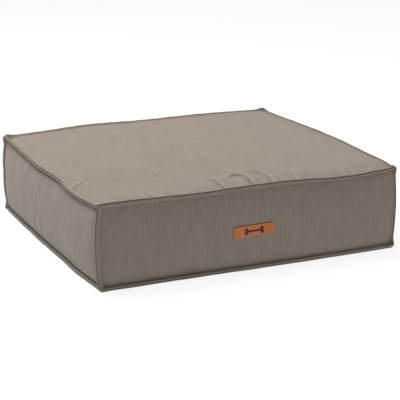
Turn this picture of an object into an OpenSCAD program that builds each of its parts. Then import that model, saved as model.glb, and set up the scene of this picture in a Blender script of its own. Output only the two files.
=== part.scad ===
// Boxed cushion bed for a pet: a zipped cover with flanged seams over a wadded foam cushion.
// +X runs along the front, +Y goes to the back, +Z is up; the origin is on the floor below the middle.

/* [Overall size] */
// Width across the tips of the side seams
bed_width = 600; // [420:10:1100]
// Depth across the tips of the front and back seams
bed_depth = 550; // [360:10:1000]
// Height from the floor to the tips of the top seam
bed_height = 162; // [110:2:240]

/* [Cover] */
// How far each flanged seam stands out from the panels
flange_reach = 7; // [5:0.5:12]
// Thickness of the cover fabric
fabric_thick = 1.2; // [0.8:0.1:2]
// Gap between two layers that are sewn together
layer_gap = 0.2; // [0.1:0.05:0.4]
// Thickness of the topstitching thread
thread_thick = 0.8; // [0.4:0.1:1.2]
// Distance from the corner of two panels to their topstitching, along each of them
stitch_reach = 3.2; // [2.6:0.1:4]

/* [Label] */
// Width of the leather patch
label_width = 84; // [50:1:140]
// Height of the leather patch
label_height = 22.5; // [14:0.5:40]
// Thickness of the leather patch
label_thick = 1.6; // [1:0.1:3]
// Corner radius of the leather patch
label_corner = 3; // [1:0.5:6]
// How far the patch sits below the middle of the front panel
label_drop = 2.5; // [0:0.5:15]
// Distance from the edge of the patch to its stitching
label_stitch_inset = 2.2; // [1.5:0.1:4]
// Width of the care label
care_width = 30; // [20:1:50]
// Length of the care label
care_length = 42; // [20:1:46]
// Thickness of the care label
care_thick = 0.4; // [0.2:0.1:0.8]

/* [Zip] */
// Distance from each side panel to the end of the zip
zip_margin = 25; // [15:1:60]
// Opening between the two folded edges of the cover over the teeth
zip_window = 10; // [9:0.5:14]
// Width of each zip tape, from the teeth outwards
tape_width = 14; // [10:1:20]
// Thickness of each zip tape
tape_thick = 0.6; // [0.4:0.1:1]
// Diameter of each row of teeth
teeth_thick = 2.4; // [1.6:0.1:3]
// Length of each end stop
stop_length = 3; // [2:0.5:5]
// Length of the slider along the zip
slider_length = 9; // [7:0.5:14]
// Width of the slider across the zip
slider_width = 8; // [7.5:0.25:9]
// Thickness of the slider's two plates and of the post that joins them
slider_plate = 1.2; // [0.8:0.1:1.6]
// Running clearance round the slider and round the pull's crossbar
slider_clearance = 0.4; // [0.3:0.05:0.6]
// Length of the pull from its hinge
pull_length = 26; // [16:1:40]
// Width of the pull
pull_width = 7; // [6:0.25:9]
// Thickness of the pull
pull_thick = 1.2; // [0.8:0.1:1.6]
// Diameter of the pull's crossbar
crossbar_thick = 1.6; // [1.2:0.1:2]
// Width of the bail that holds the crossbar
bail_width = 3; // [2:0.25:3.5]

/* [Inner cushion] */
// Room between the cover's sides and the inner cushion
cushion_clearance = 4; // [3.5:0.5:8]
// Room between the cover's top or bottom and the inner cushion
cushion_slack = 0.3; // [0.2:0.1:2]
// Thickness of the liner fabric
liner_thick = 0.6; // [0.4:0.1:1]
// Thickness of the wadding above and below the foam
wadding_thick = 18; // [8:1:30]
// Thickness of the wadding round the edge of the foam
wadding_edge = 14; // [6:1:30]
// Gap between wadding, liner and foam
fill_gap = 0.3; // [0.2:0.1:1]

/* [Hidden] */

// Colours
cover_colour = [0.60, 0.56, 0.52];
thread_colour = [0.68, 0.64, 0.60];
leather_colour = [0.72, 0.42, 0.22];
tape_colour = [0.45, 0.41, 0.37];
teeth_colour = [0.38, 0.35, 0.32];
metal_colour = [0.55, 0.55, 0.57];
liner_colour = [0.93, 0.92, 0.89];
wadding_colour = [0.97, 0.97, 0.95];
foam_colour = [0.93, 0.88, 0.70];

// Panels: the seam line of two panels is where their outer faces meet
seam_x = bed_width / 2 - flange_reach;
seam_y = bed_depth / 2 - flange_reach;
seam_z = bed_height - flange_reach;
side_low = fabric_thick + layer_gap;
side_mid = (side_low + seam_z) / 2;
// Set-backs of a flange's two faces from the diagonal through the seam line
rim_inner = layer_gap / sqrt(2);
rim_outer = rim_inner + fabric_thick * sqrt(2);
// Places of a thread that lies on a flange's outer face, beyond the two seam planes
thread_gap = 0.05;
thread_lift = rim_outer + (thread_thick / 2 + thread_gap) * sqrt(2);
thread_near = stitch_reach - thread_lift / 2;
thread_far = stitch_reach + thread_lift / 2;
past = 1;

// Zip, in a frame whose y = 0 is the outer face of the back panel
zip_length = 2 * (seam_x - zip_margin);
tape_outer = -fabric_thick - layer_gap;
tape_inner = tape_outer - tape_thick;
teeth_top = tape_outer + layer_gap / 2 + teeth_thick;
half_split = slider_plate / 2 + slider_clearance;
teeth_z = half_split + teeth_thick / 2;
slider_x = slider_length / 2 + stop_length + slider_clearance - zip_length / 2;
plate_y = teeth_top + slider_clearance;
hinge_y = plate_y + slider_plate + slider_clearance + crossbar_thick / 2;
bail_inner = crossbar_thick / 2 + slider_clearance;
bail_wall = 1;
arm_z = bail_width / 2 + slider_clearance;
// The pull's frame clears the far corner of the bail as it swings
pull_window = sqrt(2) * (bail_inner + bail_wall) + slider_clearance;
zip_stitch_inset = 2.5;
end_tab_height = 2 * tape_width;

// Inner cushion
liner_x = seam_x - fabric_thick - cushion_clearance;
liner_y = seam_y - fabric_thick - cushion_clearance;
liner_low = fabric_thick + cushion_slack;
liner_high = seam_z - fabric_thick - cushion_slack;
fill_x = liner_x - liner_thick - fill_gap;
fill_y = liner_y - liner_thick - fill_gap;
fill_low = liner_low + liner_thick + fill_gap;
fill_high = liner_high - liner_thick - fill_gap;
foam_x = fill_x - wadding_edge - fill_gap;
foam_y = fill_y - wadding_edge - fill_gap;
foam_low = fill_low + wadding_thick + fill_gap;
foam_high = fill_high - wadding_thick - fill_gap;

$fn = 32;

// Long bar along Y whose section opens outwards at 45 degrees from a floor at z = low
module wide_wedge(half, low, high, rim) {
    rotate([90, 0, 0])
        linear_extrude(height = 4 * (bed_width + bed_depth), center = true)
            polygon([
                [-(half + low - rim), low],
                [half + low - rim, low],
                [half + high - rim, high],
                [-(half + high - rim), high]
            ]);
}

// The same bar along X, with a straight wall on its low side
module walled_wedge(wall, half, low, high, rim) {
    rotate([90, 0, 90])
        linear_extrude(height = 4 * (bed_width + bed_depth), center = true)
            polygon([
                [wall, low],
                [half + low - rim, low],
                [half + high - rim, high],
                [wall, high]
            ]);
}

// Fabric panel with its four edges turned up at 45 degrees; its outer face is z = 0
module flat_tray(half_x, half_y) {
    difference() {
        intersection() {
            wide_wedge(half_x, -fabric_thick, flange_reach, rim_inner);
            rotate([0, 0, 90]) wide_wedge(half_y, -fabric_thick, flange_reach, rim_inner);
        }
        intersection() {
            wide_wedge(half_x, 0, flange_reach + past, rim_outer);
            rotate([0, 0, 90]) wide_wedge(half_y, 0, flange_reach + past, rim_outer);
        }
    }
}

// Border panel: the ends and the top edge turned out at 45 degrees, the bottom edge square
module border_tray(half_x) {
    difference() {
        intersection() {
            wide_wedge(half_x, -fabric_thick, flange_reach, rim_inner);
            walled_wedge(side_low, seam_z, -fabric_thick, flange_reach, rim_inner);
        }
        intersection() {
            wide_wedge(half_x, 0, flange_reach + past, rim_outer);
            walled_wedge(side_low + fabric_thick, seam_z, 0, flange_reach + past, rim_outer);
        }
    }
}

// Stands a border panel up at the front, at a distance from the middle
module stand_up(distance) {
    translate([0, -distance, 0]) rotate([90, 0, 0]) children();
}

module box_between(low, high) {
    translate(low) cube(high - low);
}

module rod_x(length, thick) {
    rotate([0, 90, 0]) cylinder(h = length, d = thick, center = true);
}

module rod_y(length, thick) {
    rotate([90, 0, 0]) cylinder(h = length, d = thick, center = true);
}

// Flat rectangle with round corners
module rounded_plate(width, height, corner) {
    square([width - 2 * corner, height], center = true);
    square([width, height - 2 * corner], center = true);
    for (x = [-1, 1], y = [-1, 1])
        translate([x * (width / 2 - corner), y * (height / 2 - corner)]) circle(r = corner);
}

module band(outer_x, outer_y, wall, low, high) {
    translate([0, 0, low])
        linear_extrude(height = high - low)
            difference() {
                square([2 * outer_x, 2 * outer_y], center = true);
                square([2 * (outer_x - wall), 2 * (outer_y - wall)], center = true);
            }
}

module slab(half_x, half_y, low, high) {
    box_between([-half_x, -half_y, low], [half_x, half_y, high]);
}

// Cover panels

module top_panel() {
    color(cover_colour) translate([0, 0, seam_z]) flat_tray(seam_x, seam_y);
}

module bottom_panel() {
    color(cover_colour) slab(bed_width / 2, bed_depth / 2, 0, fabric_thick);
}

module front_panel() {
    color(cover_colour) stand_up(seam_y) border_tray(seam_x);
}

module left_panel() {
    color(cover_colour) rotate([0, 0, -90]) stand_up(seam_x) border_tray(seam_y);
}

module right_panel() {
    color(cover_colour) rotate([0, 0, 90]) stand_up(seam_x) border_tray(seam_y);
}

module back_panel() {
    rotate([0, 0, 180]) stand_up(seam_y) border_tray(seam_x);
}

// Room for the zip and the join of the two halves beside it, on one side of the zip's middle
module zip_room(side) {
    for (room = [[zip_length / 2, zip_window / 2], [bed_width, layer_gap / 2]])
        translate([-room[0], seam_y - flange_reach, side_mid])
            mirror([0, 0, (1 - side) / 2])
                translate([0, 0, -bed_height])
                    cube([2 * room[0], 3 * flange_reach, bed_height + room[1]]);
}

module back_panel_upper() {
    color(cover_colour) difference() {
        back_panel();
        zip_room(1);
    }
}

module back_panel_lower() {
    color(cover_colour) difference() {
        back_panel();
        zip_room(-1);
    }
}

// Topstitching

module top_seam_thread() {
    // The square section meets the sloping flange with a corner, so it lies a little further off
    corner_lift = (sqrt(2) - 1) * thread_thick / 2 / sqrt(2);
    outer = thread_near - corner_lift + thread_thick / 2;
    low = seam_z + thread_far + corner_lift - thread_thick / 2;
    color(thread_colour)
        band(seam_x + outer, seam_y + outer, thread_thick, low, low + thread_thick);
}

module bottom_seam_thread() {
    rest_z = side_low + fabric_thick + thread_gap + thread_thick / 2;
    color(thread_colour) translate([0, 0, rest_z])
        for (side = [-1, 1]) {
            translate([0, side * (seam_y + stitch_reach), 0]) rod_x(2 * seam_x, thread_thick);
            translate([side * (seam_x + stitch_reach), 0, 0]) rod_y(2 * seam_y, thread_thick);
        }
}

module corner_seam_thread() {
    low = side_low + fabric_thick + thread_thick;
    color(thread_colour)
        for (x = [-1, 1], y = [-1, 1])
            translate([x * (seam_x + thread_near), y * (seam_y + thread_far), low])
                cylinder(h = seam_z - low, d = thread_thick);
}

module on_back() {
    translate([0, seam_y, side_mid]) children();
}

module zip_seam_thread() {
    color(thread_colour) on_back()
        for (side = [-1, 1])
            translate([0, thread_thick / 2 + thread_gap, side * (zip_window / 2 + zip_stitch_inset)])
                rod_x(zip_length, thread_thick);
}

// Labels

module on_front(lift) {
    translate([0, -seam_y - lift, side_mid - label_drop]) rotate([90, 0, 0]) children();
}

module label_patch() {
    color(leather_colour) on_front(layer_gap)
        linear_extrude(height = label_thick) rounded_plate(label_width, label_height, label_corner);
}

module label_thread() {
    outer_w = label_width - 2 * label_stitch_inset;
    outer_h = label_height - 2 * label_stitch_inset;
    inner_corner = 1;
    color(thread_colour) on_front(layer_gap + label_thick + thread_gap)
        linear_extrude(height = thread_thick)
            difference() {
                rounded_plate(outer_w, outer_h, inner_corner + thread_thick);
                rounded_plate(outer_w - 2 * thread_thick, outer_h - 2 * thread_thick, inner_corner);
            }
}

module care_label() {
    top = -zip_window / 2 - layer_gap;
    far = zip_length / 2 - care_width;
    color(liner_colour) on_back()
        box_between(
            [far - care_width, 2 * layer_gap + thread_thick, top - care_length],
            [far, 2 * layer_gap + thread_thick + care_thick, top]);
}

// Zip

module zip_tape(side) {
    color(tape_colour) on_back()
        mirror([0, 0, (1 - side) / 2])
            box_between([-zip_length / 2, tape_inner, half_split],
                        [zip_length / 2, tape_outer, half_split + tape_width]);
}

module zip_tape_upper() {
    zip_tape(1);
}

module zip_tape_lower() {
    zip_tape(-1);
}

module zip_teeth(side) {
    color(teeth_colour) on_back()
        translate([0, teeth_top - teeth_thick / 2, side * teeth_z])
            rod_x(zip_length - 2 * (stop_length + layer_gap), teeth_thick);
}

module zip_teeth_upper() {
    zip_teeth(1);
}

module zip_teeth_lower() {
    zip_teeth(-1);
}

module zip_stops() {
    half_stop = half_split + teeth_thick;
    color(metal_colour) on_back()
        for (side = [-1, 1])
            translate([side * (zip_length - stop_length) / 2, teeth_top - teeth_thick / 2, 0])
                cube([stop_length, teeth_thick, 2 * half_stop], center = true);
}

module zip_end_tabs() {
    low_x = zip_length / 2 + layer_gap;
    high_x = seam_x - fabric_thick - layer_gap;
    color(cover_colour) on_back()
        for (side = [0, 1])
            mirror([side, 0, 0])
                box_between([low_x, tape_outer - fabric_thick, -end_tab_height / 2],
                            [high_x, tape_outer, end_tab_height / 2]);
}

module zip_slider() {
    low_y = tape_inner - slider_clearance - slider_plate;
    bail_high = hinge_y + bail_inner + bail_wall;
    outer_face = plate_y + slider_plate;
    color(metal_colour) on_back() translate([slider_x, 0, 0]) {
        box_between([-slider_length / 2, plate_y, -slider_width / 2],
                    [slider_length / 2, outer_face, slider_width / 2]);
        box_between([-slider_length / 2, low_y, -slider_width / 2],
                    [slider_length / 2, low_y + slider_plate, slider_width / 2]);
        box_between([-slider_length / 2, low_y, -slider_plate / 2],
                    [-slider_length / 6, outer_face, slider_plate / 2]);
        difference() {
            box_between([-bail_inner - bail_wall, plate_y, -bail_width / 2],
                        [bail_inner + bail_wall, bail_high, bail_width / 2]);
            box_between([-bail_inner, outer_face, -bail_width],
                        [bail_inner, hinge_y + bail_inner, bail_width]);
        }
    }
}

module zip_pull() {
    round_end = pull_width / 2;
    color(metal_colour) on_back() translate([slider_x, hinge_y, 0]) {
        cylinder(h = pull_width, d = crossbar_thick, center = true);
        rotate([90, 0, 0])
            linear_extrude(height = pull_thick, center = true)
                difference() {
                    union() {
                        translate([0, -round_end]) square([pull_length - round_end, pull_width]);
                        translate([pull_length - round_end, 0]) circle(d = pull_width);
                    }
                    translate([-past, -arm_z]) square([pull_window + past, 2 * arm_z]);
                }
    }
}

// Inner cushion

module liner_top() {
    color(liner_colour) slab(liner_x, liner_y, liner_high - liner_thick, liner_high);
}

module liner_bottom() {
    color(liner_colour) slab(liner_x, liner_y, liner_low, liner_low + liner_thick);
}

module liner_band() {
    color(liner_colour)
        band(liner_x, liner_y, liner_thick, fill_low, fill_high);
}

module wadding_top() {
    color(wadding_colour) slab(fill_x, fill_y, fill_high - wadding_thick, fill_high);
}

module wadding_bottom() {
    color(wadding_colour) slab(fill_x, fill_y, fill_low, fill_low + wadding_thick);
}

module wadding_band() {
    color(wadding_colour) band(fill_x, fill_y, wadding_edge, foam_low, foam_high);
}

module foam_core() {
    color(foam_colour) slab(foam_x, foam_y, foam_low, foam_high);
}

top_panel();
bottom_panel();
front_panel();
left_panel();
right_panel();
back_panel_upper();
back_panel_lower();
top_seam_thread();
bottom_seam_thread();
corner_seam_thread();
zip_seam_thread();
label_patch();
label_thread();
care_label();
zip_tape_upper();
zip_tape_lower();
zip_teeth_upper();
zip_teeth_lower();
zip_stops();
zip_end_tabs();
zip_slider();
zip_pull();
liner_top();
liner_bottom();
liner_band();
wadding_top();
wadding_bottom();
wadding_band();
foam_core();
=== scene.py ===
import math
from contextlib import contextmanager

import bpy
import numpy as np
from mathutils import Matrix, Vector


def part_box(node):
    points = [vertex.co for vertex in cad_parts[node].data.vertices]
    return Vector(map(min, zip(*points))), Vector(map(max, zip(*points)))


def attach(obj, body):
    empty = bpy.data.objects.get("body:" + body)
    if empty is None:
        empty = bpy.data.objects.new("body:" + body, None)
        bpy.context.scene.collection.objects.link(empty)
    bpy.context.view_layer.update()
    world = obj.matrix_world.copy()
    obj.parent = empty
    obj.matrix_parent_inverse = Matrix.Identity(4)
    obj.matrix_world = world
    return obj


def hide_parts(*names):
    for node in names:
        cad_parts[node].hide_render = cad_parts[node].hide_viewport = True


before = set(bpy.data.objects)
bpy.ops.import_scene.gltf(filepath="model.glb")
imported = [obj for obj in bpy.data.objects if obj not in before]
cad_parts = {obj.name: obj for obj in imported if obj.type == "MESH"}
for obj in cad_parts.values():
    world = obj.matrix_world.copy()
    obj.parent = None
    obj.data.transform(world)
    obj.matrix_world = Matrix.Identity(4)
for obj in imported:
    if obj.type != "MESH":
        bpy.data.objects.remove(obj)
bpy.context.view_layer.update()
mm = 0.001


# ---------------------------------------------------------------------------
# Foam core.
# A block of open-cell foam gives the bed its height. It is cut to size with a hot wire
# and lies loose in its wadding.

class Value:
    """A shader socket that Python's operators turn into Math nodes."""

    def __init__(self, maker, socket):
        self.maker, self.socket = maker, socket

    def math(self, operation, *others):
        inputs = dict(enumerate((self, *others)))
        return self.maker.node("Math", {"operation": operation}, inputs)

    def __add__(self, other):
        return self.math("ADD", other)

    def __sub__(self, other):
        return self.math("SUBTRACT", other)

    def __mul__(self, other):
        return self.math("MULTIPLY", other)


class Finish:
    """A material on a Principled shader, whose keywords set the shader's own sockets."""

    def __init__(self, name, **constants):
        self.material = bpy.data.materials.new(name)
        self.material.use_nodes = True
        self.tree = self.material.node_tree
        self.shader = self.tree.nodes["Principled BSDF"]
        for socket, value in constants.items():
            self.shader.inputs[socket.replace("_", " ")].default_value = value

    def node(self, kind, settings=None, inputs=None, output=0):
        made = self.tree.nodes.new("ShaderNode" + kind)
        for name, value in (settings or {}).items():
            if name == "stops":
                ramp_elements = made.color_ramp.elements
                while len(ramp_elements) < len(value):
                    ramp_elements.new(0.5)
                for element, (position, colour) in zip(ramp_elements, value):
                    element.position, element.color = position, (*colour, 1)
            else:
                setattr(made, name, value)
        for name, value in (inputs or {}).items():
            self.feed(made.inputs[name], value)
        return Value(self, made.outputs[output])

    def feed(self, socket, value):
        if isinstance(value, Value):
            self.tree.links.new(value.socket, socket)
        else:
            socket.default_value = value

    def surface(self, **links):
        for name, value in links.items():
            self.feed(self.shader.inputs[name.replace("_", " ")], value)

    def mix(self, share, first, second):
        first, second = (x if isinstance(x, Value) else (*x, 1) for x in (first, second))
        settings = {"data_type": "RGBA", "clamp_factor": False}
        return self.node("Mix", settings, {0: share, 6: first, 7: second}, output=2)

    def place(self):
        """Where each point lies on the piece, in metres."""
        return self.node("TexCoord", output=3)

    def noise(self, scale, detail, place=None, roughness=0.5):
        inputs = {"Vector": place or self.place(), "Scale": scale, "Detail": detail, "Roughness": roughness}
        return self.node("TexNoise", {}, inputs)

    def parts(self, place):
        """The three parts of a place, as values."""
        return [self.node("SeparateXYZ", {}, {0: place}, output=k) for k in range(3)]

    def bumped(self, height, strength, distance):
        return self.node("Bump", {}, {"Strength": strength, "Distance": distance, "Height": height})

    def put_on(self, piece):
        piece.data.materials.clear()
        piece.data.materials.append(self.material)


def only(piece):
    """Leaves one piece selected and active."""
    bpy.ops.object.select_all(action="DESELECT")
    piece.select_set(True)
    bpy.context.view_layer.objects.active = piece
    return piece


@contextmanager
def editing(piece):
    """Opens a piece's mesh with all of it selected, and closes it afterwards."""
    only(piece)
    bpy.ops.object.mode_set(mode="EDIT")
    bpy.ops.mesh.select_all(action="SELECT")
    yield
    bpy.ops.object.mode_set(mode="OBJECT")


def modify(piece, kind, **settings):
    """Adds a modifier to a piece and applies it."""
    only(piece)
    modifier = piece.modifiers.new(kind.lower(), kind)
    for setting, value in settings.items():
        setattr(modifier, setting, value)
    bpy.ops.object.modifier_apply(modifier=modifier.name)


def rounded_block(name, low, high, radius, segments=5):
    """A box between two corners, with its edges and corners rounded."""
    bpy.ops.mesh.primitive_cube_add(size=1)
    piece = bpy.context.object
    piece.name = name
    with editing(piece):
        bpy.ops.transform.resize(value=high - low)
        bpy.ops.transform.translate(value=(high + low) / 2)
        bpy.ops.mesh.bevel(offset=radius, segments=segments, affect="EDGES")
    return piece


def pored(name, colour, shadow, grain, strength, depth):
    """Pale stuffing material with fine pores or fibres."""
    finish = Finish(name, Roughness=0.95, Specular_IOR_Level=0.15)
    pores = finish.noise(grain, 4.0)
    patches = finish.noise(14.0, 2.0)
    finish.surface(
        Base_Color=finish.mix(pores * 0.6 + patches * 0.4, shadow, colour),
        Normal=finish.bumped(pores, strength, depth),
    )
    return finish


foam_low, foam_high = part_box("foam_core")
foam = rounded_block("foam_core_block", foam_low, foam_high, 6 * mm, 3)
modify(foam, "REMESH", mode="VOXEL", voxel_size=8 * mm)
pored("foam", (0.84, 0.76, 0.47), (0.62, 0.53, 0.28), 900, 0.5, 0.4 * mm).put_on(foam)
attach(foam, "bed")
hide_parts("foam_core")

# ---------------------------------------------------------------------------
# Wadding.
# Fluffy polyester fibre in three pieces wraps the foam: one pad above, one below and
# a strip round the edge. It softens the corners that the cover is drawn over.

fill_low, fill_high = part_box("wadding_bottom")[0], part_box("wadding_top")[1]
fill_radius = 20 * mm
# Foam and wadding lie this far apart
wadding_gap = 0.3 * mm
wadding_edge = foam_low.x - fill_low.x - wadding_gap
tufts = bpy.data.textures.new("tufts", "CLOUDS")
tufts.noise_scale = 0.03
wadding_finish = pored("wadding", (0.9, 0.9, 0.87), (0.66, 0.66, 0.63), 420, 0.6, 0.8 * mm)


def keep_between(piece, low, high, fill):
    """Cuts a piece off level at two heights. A height of None leaves that side alone."""
    for height, side in ((low, "clear_inner"), (high, "clear_outer")):
        if height is None:
            continue
        with editing(piece):
            level = {"plane_co": (0, 0, height), "plane_no": (0, 0, 1), side: True}
            bpy.ops.mesh.bisect(use_fill=fill, **level)


for node, low, high in (
    ("wadding_bottom", None, foam_low.z - wadding_gap),
    ("wadding_band", foam_low.z, foam_high.z),
    ("wadding_top", foam_high.z + wadding_gap, None),
):
    pad = rounded_block(node + "_pad", fill_low, fill_high, fill_radius)
    keep_between(pad, low, high, fill=node != "wadding_band")
    if node == "wadding_band":
        modify(pad, "SOLIDIFY", thickness=wadding_edge, offset=-1, use_even_offset=True)
    modify(pad, "REMESH", mode="VOXEL", voxel_size=5 * mm)
    # Inwards only, so that a tuft never comes through the liner
    modify(pad, "DISPLACE", texture=tufts, strength=0.9 * mm, mid_level=1.0)
    only(pad)
    bpy.ops.object.shade_smooth()
    wadding_finish.put_on(pad)
    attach(pad, "bed")
    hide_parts(node)

# ---------------------------------------------------------------------------
# Liner.
# A thin non-woven case keeps foam and wadding together when the cover is taken off.
# Its top, bottom and band are overlocked to each other along the rounded edges.

liner_low, liner_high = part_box("liner_bottom")[0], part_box("liner_top")[1]
liner_width, liner_depth, liner_height = liner_high - liner_low
liner_thick = 0.6 * mm
liner_radius = 21 * mm
# The band reaches this far up and down round the rounded edges
liner_turn = 6 * mm
liner_hem = 10 * mm
# The rounded corners save the band this much of the way round
liner_corners = 40 * mm
liner_finish = pored("liner", (0.84, 0.83, 0.8), (0.7, 0.69, 0.66), 1500, 0.25, 0.2 * mm)
liner_seam_low, liner_seam_high = liner_low.z + liner_turn, liner_high.z - liner_turn
liner_gap = 0.15 * mm
for node, low, high, flat in (
    ("liner_bottom", None, liner_seam_low, (liner_width, liner_depth)),
    ("liner_band", liner_seam_low + liner_gap, liner_seam_high - liner_gap,
     (2 * (liner_width + liner_depth) - liner_corners, liner_height - 2 * liner_turn + 2 * liner_hem)),
    ("liner_top", liner_seam_high, None, (liner_width, liner_depth)),
):
    cloth = rounded_block(node + "_cloth", liner_low, liner_high, liner_radius, 8)
    keep_between(cloth, low, high, fill=False)
    modify(cloth, "SOLIDIFY", thickness=liner_thick, offset=-1, use_even_offset=True)
    bpy.ops.object.shade_smooth_by_angle(angle=math.radians(40))
    liner_finish.put_on(cloth)
    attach(cloth, "bed")
    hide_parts(node)

# ---------------------------------------------------------------------------
# Cover, cut and stuffed.
# Six panels of slub-woven fabric are sewn into a box round the cushion. The seams
# hold their line, and the fabric between them is pushed out by the filling.

top_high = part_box("top_panel")[1]
bed_low, bed_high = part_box("bottom_panel")
flange_reach = 7.0 * mm
seam_x = bed_high.x - flange_reach
seam_y = bed_high.y - flange_reach
seam_top = top_high.z - flange_reach
seam_bottom = 5.0 * mm
zip_z = (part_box("zip_pull")[0].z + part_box("zip_pull")[1].z) / 2


def graded(low, high, close_from=0.0, close_to=0.0, middle_cell=9.5 * mm):
    """Levels from low to high, closer together near both ends and twice as close in one stretch."""
    ends = np.cumsum([0, 3.0, 3.6, 4.6, 6.0, 7.5]) * mm
    count = max(2, round((high - low - 2 * ends[-1]) / middle_cell))
    middle = np.linspace(low + ends[-1], high - ends[-1], count + 1)
    levels = np.concatenate([low + ends[:-1], middle, high - ends[:-1][::-1]])
    halves = (levels[1:] + levels[:-1]) / 2
    return np.sort(np.concatenate([levels, halves[(halves > close_from) & (halves < close_to)]]))


levels_x = graded(-seam_x, seam_x, -80 * mm, 105 * mm)
levels_y = graded(-seam_y, seam_y, -252 * mm, -150 * mm)
levels_z = graded(seam_bottom, seam_top)
zip_level = len(levels_z) // 2
levels_z[zip_level] = zip_z
# One point for each corner of the box's grid; only those on its six faces are used
points = np.stack(np.meshgrid(levels_x, levels_y, levels_z, indexing="ij"), axis=-1)
# The same points counted from -1 to 1 across the box, so that seams and corners are easy to find
spans = np.stack(
    np.meshgrid(
        levels_x / seam_x,
        levels_y / seam_y,
        2 * (levels_z - seam_bottom) / (seam_top - seam_bottom) - 1,
        indexing="ij",
    ),
    axis=-1,
)


def ripple(t, seed, waves=(2.3, 5.1, 9.7, 17.0)):
    """Gentle uneven wave between about -1 and 1, the same for every run."""
    phases = np.random.default_rng(seed).uniform(0, 2 * math.pi, len(waves))
    return sum(np.sin(w * 2 * math.pi * t + p) / (1 + n) for n, (w, p) in enumerate(zip(waves, phases))) / 1.6


def bump(t, centre, width):
    return np.exp(-(((t - centre) / width) ** 2))


def ramp(t, start, end):
    s = np.clip((t - start) / (end - start), 0, 1)
    return s * s * (3 - 2 * s)


def arch(t, power=1.0):
    return np.sin(math.pi * np.clip(t, 0, 1)) ** power


# The six faces as grids of points, each with its own two directions and its outward normal
FACES = {
    "top": (np.s_[:, :, -1], (0, 0, 1)),
    "bottom": (np.s_[:, ::-1, 0], (0, 0, -1)),
    "front": (np.s_[:, 0, :], (0, -1, 0)),
    "back": (np.s_[::-1, -1, :], (0, 1, 0)),
    "right": (np.s_[-1, :, :], (1, 0, 0)),
    "left": (np.s_[0, ::-1, :], (-1, 0, 0)),
}
NORMALS = {name: np.array(normal, float) for name, (_, normal) in FACES.items()}


# A point at this share of the way to a face of the box, or past it, lies on that face
AT_FACE = 0.9999


def seams_at(span):
    """Which points lie on each face, and how far along the width, depth and height they are."""
    a, b, c = np.moveaxis(span, -1, 0)
    on = {
        name: sum(n * x for n, x in zip(normal, (a, b, c))) > AT_FACE
        for name, normal in NORMALS.items()
    }
    on["upright"] = (on["left"] | on["right"]) & (on["front"] | on["back"])
    return on, (a + 1) / 2, (1 - b) / 2, (c + 1) / 2


def seam_shift(span):
    """How far a seam's line has moved from the straight edge of the box, for points given by their spans."""
    on, across, deep, upward = seams_at(span)
    shift = np.zeros(span.shape)

    def move(face, edge, out, down=None):
        seam = on[face] & on[edge]
        moved = out[..., None] * NORMALS[face]
        if down is not None:
            moved[..., 2] = -down
        shift[seam] += moved[seam] * mm

    t = deep
    out = 8 * arch(t, 0.8) + 0.4 * ripple(t, 1) * arch(t)
    down = (5.5 - 2 * bump(t, 0.62, 0.08) + 1.5 * bump(t, 0.83, 0.07) + 0.4 * ripple(t, 2)) * arch(t, 0.35)
    move("left", "top", out, down)
    out = 5.5 * arch(t, 0.7) + 2.5 * bump(t, 0.8, 0.13) + 0.5 * ripple(t, 3) * arch(t)
    move("left", "bottom", out)
    out = 9.5 * arch(t, 0.6) + 0.5 * ripple(t, 4) * arch(t)
    down = (-2 + bump(t, 0.12, 0.08) - 3 * bump(t, 0.6, 0.3) - 4.5 * bump(t, 0.93, 0.08)) * arch(t, 0.4)
    move("right", "top", out, down)
    move("right", "bottom", 5 * arch(t, 0.8) + 0.5 * ripple(t, 5) * arch(t))

    t = across
    out = 1.5 * arch(t) + 0.4 * ripple(t, 6) * arch(t)
    down = (0.5 + 6 * bump(t, 0.86, 0.12) + 1.5 * bump(t, 0.38, 0.15) + 0.5 * ripple(t, 7)) * arch(t, 0.4)
    move("front", "top", out, down)
    move("front", "bottom", (1.0 + 1.5 * ramp(t, 0.4, 0.7)) * arch(t) + 0.3 * ripple(t, 8) * arch(t))
    out = 3 * arch(t) + 0.4 * ripple(t, 9) * arch(t)
    move("back", "top", out, (-5.2 - 2.5 * bump(t, 0.28, 0.12) + 0.5 * ripple(t, 10)) * arch(t, 0.4))
    move("back", "bottom", out)

    a, b = np.sign(span[..., 0]), np.sign(span[..., 1])
    out = 5.5 * arch(upward, 0.4)
    sideways = np.where(a < 0, 1.5, np.where(b < 0, 1.4, 1.0))
    forward = np.where(b > 0, 1.0, np.where(a < 0, 0.1, 0.45))
    moved = np.stack([a * out * sideways, b * out * forward, np.zeros(a.shape)], -1)
    shift[on["upright"]] += moved[on["upright"]] * mm
    return shift


# How far the filling lifts each panel off its seams, how soon, how much the stitching puckers it,
# and how freely it follows the pressure
FILLING = {
    "top": (4.0 * mm, 4.5 * mm, 0.04, 0.6),
    "bottom": (seam_bottom, 7.0 * mm, 0.10, 0),
    "front": (2.5 * mm, 6.0 * mm, 0.05, 0.4),
    "back": (4.5 * mm, 7.0 * mm, 0.09, 0.8),
    "right": (4.5 * mm, 7.0 * mm, 0.07, 0.6),
    "left": (4.5 * mm, 7.0 * mm, 0.025, 0.3),
}
MOST_PUSHED = 6 * mm


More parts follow.
